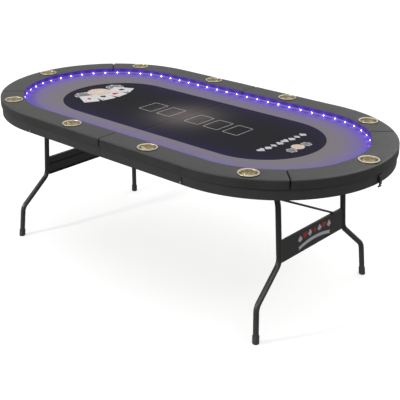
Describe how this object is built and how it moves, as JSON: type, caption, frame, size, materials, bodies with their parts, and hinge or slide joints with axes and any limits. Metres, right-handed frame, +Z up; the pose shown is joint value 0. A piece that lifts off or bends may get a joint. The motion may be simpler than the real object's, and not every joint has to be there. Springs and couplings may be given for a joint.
{
  "type": "folding card table",
  "caption": "Folding oval card table with padded rail, metal cup holders, lit inner wall, printed cloth and two fold-in steel leg sets.",
  "frame": {"origin": "on the floor, midway along and across the table, under the fold", "axes": "+X along the table towards the end with the draw latch, +Y towards the back rail, +Z up"},
  "size_m": [2.1364, 1.11, 0.7642],
  "materials": {
    "rail_vinyl": "satin black padded vinyl",
    "play_cloth": "woven speed cloth with print",
    "board": "plain board",
    "apron_laminate": "dark grey laminate",
    "cup_metal": "polished pale gold",
    "strip_film": "white film",
    "led_lens": "clear lens",
    "foot_rubber": "matte",
    "plated_steel": "zinc plated",
    "black_plastic": "moulded",
    "leg_paint": "black powder coat"
  },
  "bodies": {
    "left_half": {"hinge_pins": "plated_steel", "latch_keepers": "plated_steel", "left_back_corner_cup": "cup_metal", "left_back_inner_cup": "cup_metal", "left_back_pad": "rail_vinyl", "left_centre_beam": "board", "left_deck_board": "board", "left_end_cup": "cup_metal", "left_end_pad": "rail_vinyl", "left_front_corner_cup": "cup_metal", "left_front_inner_cup": "cup_metal", "left_front_pad": "rail_vinyl", "left_hinge_leaves": "plated_steel", "left_led_chips": "led_lens", "left_led_strip": "strip_film", "left_leg_brackets": "leg_paint", "left_play_cloth": "play_cloth", "left_rail_base": "board", "left_side_apron": "apron_laminate", "left_stay_brackets": "plated_steel", "light_control_box": "black_plastic"},
    "right_half": {"right_back_corner_cup": "cup_metal", "right_back_inner_cup": "cup_metal", "right_back_pad": "rail_vinyl", "right_centre_beam": "board", "right_deck_board": "board", "right_end_cup": "cup_metal", "right_end_pad": "rail_vinyl", "right_front_corner_cup": "cup_metal", "right_front_inner_cup": "cup_metal", "right_front_pad": "rail_vinyl", "right_hinge_leaves": "plated_steel", "right_led_chips": "led_lens", "right_led_strip": "strip_film", "right_leg_brackets": "leg_paint", "right_play_cloth": "play_cloth", "right_rail_base": "board", "right_side_apron": "apron_laminate", "right_stay_brackets": "plated_steel", "side_latch_studs": "plated_steel", "tip_latch_base": "leg_paint"},
    "left_legs": {"left_back_leg_tube": "leg_paint", "left_foot_caps": "foot_rubber", "left_front_leg_tube": "leg_paint", "left_leg_brace": "leg_paint", "left_leg_panel": "leg_paint"},
    "right_legs": {"right_back_leg_tube": "leg_paint", "right_foot_caps": "foot_rubber", "right_front_leg_tube": "leg_paint", "right_leg_brace": "leg_paint", "right_leg_panel": "leg_paint"},
    "left_deck_stays": {"left_stay_deck_links": "plated_steel"},
    "right_deck_stays": {"right_stay_deck_links": "plated_steel"},
    "left_leg_stays": {"left_stay_leg_links": "plated_steel"},
    "right_leg_stays": {"right_stay_leg_links": "plated_steel"},
    "tip_lever": {"tip_latch_lever": "leg_paint"},
    "tip_bail": {"tip_latch_bail": "plated_steel"},
    "front_hook": {"front_latch_hook": "leg_paint"},
    "back_hook": {"back_latch_hook": "leg_paint"},
    "power_button": {"power_button": "black_plastic"}
  },
  "joints": [
    {"name": "centre_fold", "type": "hinge", "parent": "left_half", "child": "right_half", "pos_m": [0, 0, 0.6715], "axis": [0, 1, 0], "range_deg": [0, 85]},
    {"name": "left_legs_fold", "type": "hinge", "parent": "left_half", "child": "left_legs", "pos_m": [-0.733, 0, 0.692], "axis": [0, -1, 0], "range_deg": [0, 93.89]},
    {"name": "left_deck_stay_turn", "type": "hinge", "parent": "left_half", "child": "left_deck_stays", "pos_m": [-0.603, 0, 0.705], "axis": [0, 1, 0], "range_deg": [0, 33.08]},
    {"name": "left_leg_stay_turn", "type": "hinge", "parent": "left_legs", "child": "left_leg_stays", "pos_m": [-0.73808, 0, 0.61717], "axis": [0, -1, 0], "range_deg": [0, 39.17]},
    {"name": "right_legs_fold", "type": "hinge", "parent": "right_half", "child": "right_legs", "pos_m": [0.733, 0, 0.692], "axis": [0, 1, 0], "range_deg": [0, 93.89]},
    {"name": "right_deck_stay_turn", "type": "hinge", "parent": "right_half", "child": "right_deck_stays", "pos_m": [0.603, 0, 0.705], "axis": [0, -1, 0], "range_deg": [0, 33.08]},
    {"name": "right_leg_stay_turn", "type": "hinge", "parent": "right_legs", "child": "right_leg_stays", "pos_m": [0.73808, 0, 0.61717], "axis": [0, 1, 0], "range_deg": [0, 39.17]},
    {"name": "tip_lever_lift", "type": "hinge", "parent": "right_half", "child": "tip_lever", "pos_m": [1.065, 0, 0.706], "axis": [0, -1, 0], "range_deg": [0, 110]},
    {"name": "tip_bail_swing", "type": "hinge", "parent": "tip_lever", "child": "tip_bail", "pos_m": [1.0636, 0, 0.694], "axis": [0, -1, 0], "range_deg": [-110, 0]},
    {"name": "front_hook_turn", "type": "hinge", "parent": "right_half", "child": "front_hook", "pos_m": [0.4785, -0.5505, 0.684], "axis": [0, -1, 0], "range_deg": [0, 180]},
    {"name": "back_hook_turn", "type": "hinge", "parent": "right_half", "child": "back_hook", "pos_m": [0.4785, 0.5505, 0.684], "axis": [0, 1, 0], "range_deg": [0, 180]},
    {"name": "power_button_press", "type": "slide", "parent": "left_half", "child": "power_button", "axis": [0, 0, 1], "range_m": [0, 0.0012], "stiffness_N_per_m": 300, "springref_m": -0.001}
  ],
  "couplings": [
    {"joint": "left_deck_stay_turn", "follows": "left_legs_fold", "ratio": 0.35182},
    {"joint": "left_leg_stay_turn", "follows": "left_legs_fold", "ratio": 0.41663},
    {"joint": "right_deck_stay_turn", "follows": "right_legs_fold", "ratio": 0.35182},
    {"joint": "right_leg_stay_turn", "follows": "right_legs_fold", "ratio": 0.41663},
    {"joint": "tip_bail_swing", "follows": "tip_lever_lift", "ratio": -1}
  ]
}
